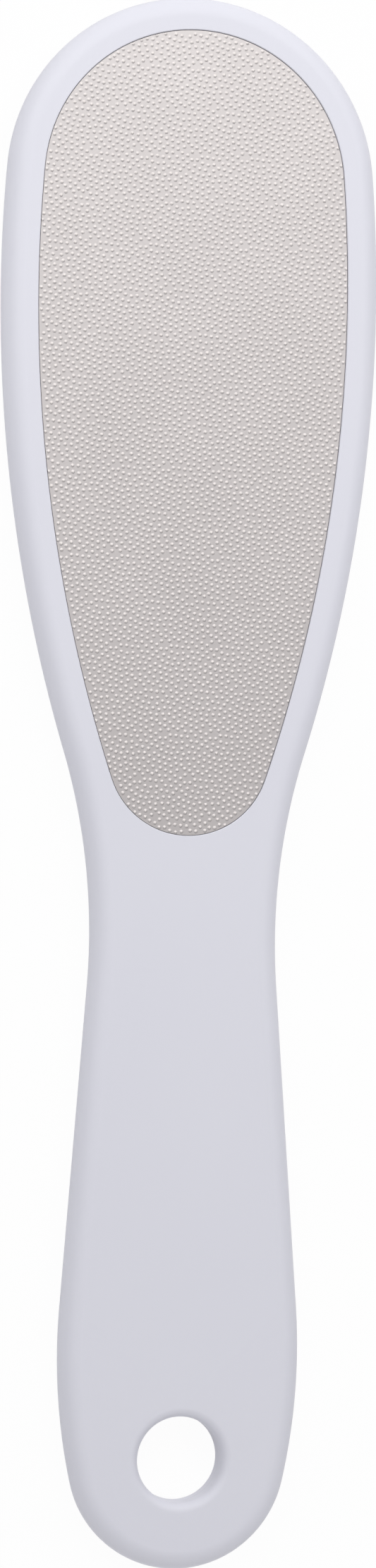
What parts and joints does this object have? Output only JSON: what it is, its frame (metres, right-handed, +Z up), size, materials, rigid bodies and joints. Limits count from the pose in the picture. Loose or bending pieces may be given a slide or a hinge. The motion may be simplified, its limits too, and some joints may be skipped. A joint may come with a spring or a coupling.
{
  "type": "foot file",
  "caption": "Paddle foot file: a white moulded paddle with an etched metal file plate set into each side of its head, and a hang hole through its handle.",
  "frame": {"origin": "mid-length and mid-width, on the underside, with the file lying on its fine side", "axes": "+X across, +Y along the paddle towards the head, +Z up through the thickness and out of the coarse plate"},
  "size_m": [0.0634, 0.26, 0.007],
  "materials": {
    "white_abs": "fine matte moulded surface",
    "etched_stainless_coarse": "satin etched ground with bright raised teeth",
    "etched_stainless_fine": "satin etched ground with fine bright teeth",
    "acrylic_adhesive": "milky double-sided adhesive film"
  },
  "bodies": {
    "root": {"paddle_body": "white_abs", "coarse_file_plate": "etched_stainless_coarse", "coarse_plate_adhesive": "acrylic_adhesive", "fine_file_plate": "etched_stainless_fine", "fine_plate_adhesive": "acrylic_adhesive"}
  },
  "joints": []
}
